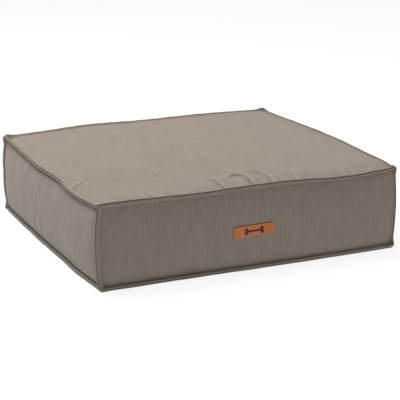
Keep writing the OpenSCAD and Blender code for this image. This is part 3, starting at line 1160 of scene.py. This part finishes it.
# The plates taper towards the slider's tail, which leaves its shoulders at the nose
wedge_half = Vector((4 * mm, slider_high.y - slider_low.y, 1.6 * mm))
wedge_angle, wedge_ahead, wedge_off = math.radians(14), 3.2 * mm, 4.9 * mm
for end_z in (-1, 1):
    wedge = rounded_block("wedge", -wedge_half, wedge_half, 0.1 * mm, 1)
    with editing(wedge):
        bpy.ops.transform.rotate(value=-end_z * wedge_angle, orient_axis="Y", center_override=(0, 0, 0))
        middle = (slider_x + wedge_ahead, (slider_low.y + slider_high.y) / 2, zip_z + end_z * wedge_off)
        bpy.ops.transform.translate(value=middle)
    cut_away(slider, wedge)
# Turned-in rims guide the coils between the two plates
rim_low = Vector((slider_x - 4.0 * mm, plate_low_y - 1.9 * mm, zip_z - 0.2 * mm))
rim_high = Vector((slider_x - 0.2 * mm, plate_low_y + 0.5 * mm, zip_z + 0.2 * mm))
rim_off = Vector((0, 0, 3.8 * mm))
for end_z in (-1, 1):
    rim = rounded_block("rim", rim_low + end_z * rim_off, rim_high + end_z * rim_off, 0.12 * mm, 2)
    only(slider)
    rim.select_set(True)
    bpy.ops.object.join()
ease(slider, 0.16 * mm)
metal_finish.put_on(slider)
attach(slider, "slider")
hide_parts("zip_slider")

pull = eased_copy("zip_pull_tab", "zip_pull", 0)
pull_end = pull_high.x
hinge_y = (pull_low.y + pull_high.y) / 2
eye_radius, eye_from_end = 1.25 * mm, 3.5 * mm
bpy.ops.mesh.primitive_cylinder_add(
    vertices=32,
    radius=eye_radius,
    depth=6 * mm,
    location=(pull_end - eye_from_end, hinge_y, zip_z),
    rotation=(math.pi / 2, 0, 0),
)
cut_away(pull, bpy.context.object)
# A shallow panel is sunk into both faces of the pull
sunk_low = Vector((pull_end - 18.5 * mm, hinge_y - 0.5 * mm, zip_z - 1.9 * mm))
sunk_high = Vector((pull_end - 7 * mm, hinge_y + 0.5 * mm, zip_z + 1.9 * mm))
sunk_off = Vector((0, 0.85 * mm, 0))
for face_y in (-1, 1):
    sunk = rounded_block("sunk", sunk_low + face_y * sunk_off, sunk_high + face_y * sunk_off, 0.45 * mm, 3)
    cut_away(pull, sunk)
ease(pull, 0.15 * mm)
metal_finish.put_on(pull)
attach(pull, "pull")
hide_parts("zip_pull")

# ---------------------------------------------------------------------------
# Leather patch on the front.
# A small patch of waxed cowhide is sewn to the front panel through its whole edge. It
# carries a branded-in bone, filled in dark brown, and lies on the curve of the cushion.

patch_low, patch_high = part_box("label_patch")
PATCH_WIDTH, PATCH_HEIGHT, PATCH_THICK = 83.6 * mm, 22.4 * mm, 1.6 * mm
PATCH_CORNER = 3 * mm
PATCH_TILT = math.radians(-1.3)
SEWN_IN = 2.1 * mm
patch_middle = (patch_low + patch_high) / 2
bpy.ops.mesh.primitive_grid_add(x_subdivisions=210, y_subdivisions=56, size=2, rotation=(math.pi / 2, 0, 0))
patch = bpy.context.object
patch.name = "leather_patch"
bpy.ops.object.transform_apply(location=False, rotation=True, scale=False)
with editing(patch):
    bpy.ops.mesh.extrude_region_move(TRANSFORM_OT_translate={"value": (0, -1, 0)})
square = np.array([tuple(v.co) for v in patch.data.vertices])
x, z = square[:, 0] * PATCH_WIDTH / 2, square[:, 2] * PATCH_HEIGHT / 2
# The grid's square corners are drawn in to the patch's round ones
core_x, core_z = PATCH_WIDTH / 2 - PATCH_CORNER, PATCH_HEIGHT / 2 - PATCH_CORNER
p, q = (np.abs(x) - core_x) / PATCH_CORNER, (np.abs(z) - core_z) / PATCH_CORNER
in_corner = (p > 0) & (q > 0)
p, q = np.clip(p, 0, 1), np.clip(q, 0, 1)
x = np.where(in_corner, np.sign(x) * (core_x + PATCH_CORNER * p * np.sqrt(1 - q * q / 2)), x)
z = np.where(in_corner, np.sign(z) * (core_z + PATCH_CORNER * q * np.sqrt(1 - p * p / 2)), z)
from_edge = np.where(
    in_corner,
    PATCH_CORNER - np.hypot(np.abs(x) - core_x, np.abs(z) - core_z),
    np.minimum(PATCH_WIDTH / 2 - np.abs(x), PATCH_HEIGHT / 2 - np.abs(z)),
)
from_edge = np.maximum(from_edge, 0)


def bone_at(x, z):
    """How deep inside the outline of the bone a point lies, in metres; below 0 outside it."""
    shaft = 2.2 * mm - np.hypot(np.maximum(np.abs(x) - 14.5 * mm, 0), z)
    knobs = 3.8 * mm - np.hypot(np.abs(x) - 16.0 * mm, np.abs(z) - 3.0 * mm)
    return np.maximum(shaft, knobs)


branded = ramp(bone_at(x, z), -0.2 * mm, 0.25 * mm)
rounding = np.clip(1 - from_edge / (1.2 * mm), 0, 1)
height = PATCH_THICK - 0.7 * mm * (1 - np.sqrt(1 - rounding**2))
height = height - 0.3 * mm * np.exp(-(((from_edge - SEWN_IN) / (0.6 * mm)) ** 2)) - 0.35 * mm * branded
height = np.where(square[:, 1] < -0.5, height, 0)


def tilted(x, z):
    """Where points of the patch lie, since it was sewn on a little askew."""
    cosine, sine = math.cos(PATCH_TILT), math.sin(PATCH_TILT)
    return patch_middle.x + x * cosine + z * sine, patch_middle.z - x * sine + z * cosine


def on_front(x, z, cloth=panels["front"].piece):
    """Where the front panel's cloth is at points across it."""
    far = bed_low.y - 60 * mm
    return np.array([cloth.ray_cast((a, far, b), (0, 1, 0))[1].y for a, b in zip(x, z)])


turned_x, turned_z = tilted(x, z)
lie = on_front(turned_x, turned_z)
patch.data.vertices.foreach_set("co", np.stack([turned_x, lie - 0.1 * mm - height, turned_z], -1).ravel())
for name, value in (("branded", branded), ("edge", np.exp(-from_edge / (0.9 * mm)))):
    patch.data.attributes.new(name, "FLOAT", "POINT").data.foreach_set("value", value.astype(np.float32))
facing_out(patch)
bpy.ops.object.shade_smooth_by_angle(angle=math.radians(60))

leather = Finish("waxed_leather", Roughness=0.5, Specular_IOR_Level=0.4)
clouding = leather.noise(55.0, 4.0)
cells = {"Vector": leather.place(), "Scale": 1100.0}
grain = leather.node("TexVoronoi", {"feature": "DISTANCE_TO_EDGE"}, cells)
fibres = leather.noise(900.0, 3.0)
burnt = leather.node("Attribute", {"attribute_name": "branded"}, output=2)
rim_shade = leather.node("Attribute", {"attribute_name": "edge"}, output=2)
tan = leather.mix(clouding, (0.47, 0.118, 0.024), (0.66, 0.19, 0.044))
tan = leather.mix(rim_shade * 0.7, tan, (0.2, 0.065, 0.02))
tan = leather.mix(burnt, tan, (0.045, 0.018, 0.009))
leather.surface(
    Base_Color=tan,
    Roughness=fibres * 0.2 + 0.38,
    Normal=leather.bumped(grain * 3 + fibres * 0.5, 0.25, 0.12 * mm),
)
leather.put_on(patch)
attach(patch, "bed")
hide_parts("label_patch")

# The row of stitches that holds the patch, just inside its edge
sewn_x, sewn_z = PATCH_WIDTH / 2 - SEWN_IN, PATCH_HEIGHT / 2 - SEWN_IN
sewn_corner = PATCH_CORNER - SEWN_IN + 0.6 * mm
outline = []
for centre_x, centre_z, first in ((1, 1, 0), (-1, 1, 90), (-1, -1, 180), (1, -1, 270)):
    for angle in np.radians(np.arange(first, first + 91, 15)):
        outline.append(
            (
                centre_x * (sewn_x - sewn_corner) + sewn_corner * math.cos(angle),
                centre_z * (sewn_z - sewn_corner) + sewn_corner * math.sin(angle),
            )
        )
outline = np.array(outline + outline[:1])
steps = np.linspace(0, 1, 12)[:-1, None]
outline = np.concatenate([a + (b - a) * steps for a, b in zip(outline[:-1], outline[1:])] + [outline[:1]])
row_x, row_z = tilted(outline[:, 0], outline[:, 1])
row = np.stack([row_x, on_front(row_x, row_z) - PATCH_THICK, row_z], -1)
patch_stitches = stitched(
    "leather_patch_stitches",
    [(row, np.tile((0.0, -1.0, 0.0), (len(row), 1)))],
    length=2.5 * mm,
    pitch=3.1 * mm,
    thick=0.75 * mm,
)
threaded("patch_thread", (0.56, 0.42, 0.31), (0.78, 0.62, 0.49)).put_on(patch_stitches)
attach(patch_stitches, "bed")
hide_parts("label_thread")

# ---------------------------------------------------------------------------
# Care label.
# A blank satin ribbon is caught in the seam below the zip. It hangs down over the back
# panel and curls away from it at its free end.

care_low, care_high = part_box("care_label")
care_width, care_length = care_high.x - care_low.x, care_high.z - care_low.z
bpy.ops.mesh.primitive_grid_add(x_subdivisions=24, y_subdivisions=34, size=1, rotation=(-math.pi / 2, 0, 0))
care = bpy.context.object
care.name = "care_ribbon"
bpy.ops.object.transform_apply(location=False, rotation=True, scale=False)
flat_care = np.array([tuple(v.co) for v in care.data.vertices])
care_x = (care_low.x + care_high.x) / 2 + flat_care[:, 0] * care_width
care_z = (care_low.z + care_high.z) / 2 + flat_care[:, 2] * care_length
down = (care_high.z - care_z) / care_length
caught_at = care_high.z - 0.6 * mm
care_y = cloth_behind(panels["back_lower"].piece, care_x, np.minimum(care_z, caught_at), 60 * mm)
# It stands a little off the cloth and curls at its free end
curl = 0.5 * mm + 1.2 * mm * down**2 + 0.5 * mm * np.sin(flat_care[:, 0] * 5 + 1) * down
care.data.vertices.foreach_set("co", np.stack([care_x, care_y + curl, care_z], -1).ravel())
modify(care, "SOLIDIFY", thickness=0.35 * mm, offset=0)
facing_out(care)
bpy.ops.object.shade_smooth_by_angle(angle=math.radians(50))
satin = Finish("care_satin", Roughness=0.32, Sheen_Weight=0.1)
waves = {"Vector": satin.place(), "Scale": 900.0}
floats = satin.node("TexWave", {"bands_direction": "X"}, waves, output=1)
handling = satin.noise(70.0, 2.0)
satin.surface(
    Base_Color=satin.mix(floats * 0.4 + handling * 0.6, (0.74, 0.72, 0.68), (0.86, 0.85, 0.81)),
    Normal=satin.bumped(floats, 0.2, 0.05 * mm),
)
satin.put_on(care)
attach(care, "bed")
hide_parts("care_label")

# ---------------------------------------------------------------------------
# Floor, light and camera.
# A pale floor and a white room. One large soft lamp stands high up behind the left side,
# and a small one low down in front of the right side.

bpy.ops.mesh.primitive_plane_add(size=8, location=(0, 0, 0))
floor = bpy.context.object
floor.name = "floor"
floor_finish = Finish("pale_floor", Roughness=0.9, Specular_IOR_Level=0.0)
floor_finish.shader.inputs["Base Color"].default_value = (0.15, 0.15, 0.15, 1)
floor_finish.shader.inputs["Emission Color"].default_value = (1, 1, 1, 1)
floor_finish.shader.inputs["Emission Strength"].default_value = 0.86
floor_finish.put_on(floor)

world = bpy.data.worlds.new("studio")
bpy.context.scene.world = world
world.use_nodes = True
world.node_tree.nodes["Background"].inputs["Color"].default_value = (1, 1, 1, 1)
world.node_tree.nodes["Background"].inputs["Strength"].default_value = 0.2


def lamp(name, place, target, size, power):
    data = bpy.data.lights.new(name, "AREA")
    data.shape, data.size, data.energy = "SQUARE", size, power
    made = linked(name, data)
    made.location = place
    made.rotation_euler = (Vector(place) - Vector(target)).to_track_quat("Z", "Y").to_euler()


lamp("key", (-0.62, 0.85, 3.0), (0, 0, 0.1), 2.4, 133)
lamp("fill", (1.35, -1.25, 0.55), (0.1, -0.2, 0.08), 0.9, 2.2)

# Camera: a long lens a little above the front left corner
azimuth, elevation = math.radians(-24.756), math.radians(16.538)
distance, aside, above = 2.901, 0.0162, 0.0569
right = Vector((math.cos(azimuth), math.sin(azimuth), 0))
back = Vector(
    (math.sin(azimuth) * math.cos(elevation), -math.cos(azimuth) * math.cos(elevation), math.sin(elevation))
)
up = back.cross(right)
camera_data = bpy.data.cameras.new("camera")
camera_data.sensor_width = 36
camera_data.lens = 129.14
camera_data.clip_end = 50
camera = linked("camera", camera_data)
turned = Matrix((right, up, back)).transposed().to_4x4()
camera.matrix_world = Matrix.Translation(back * distance + right * aside + up * above) @ turned
bpy.context.scene.camera = camera
bpy.context.scene.view_settings.view_transform = "Standard"
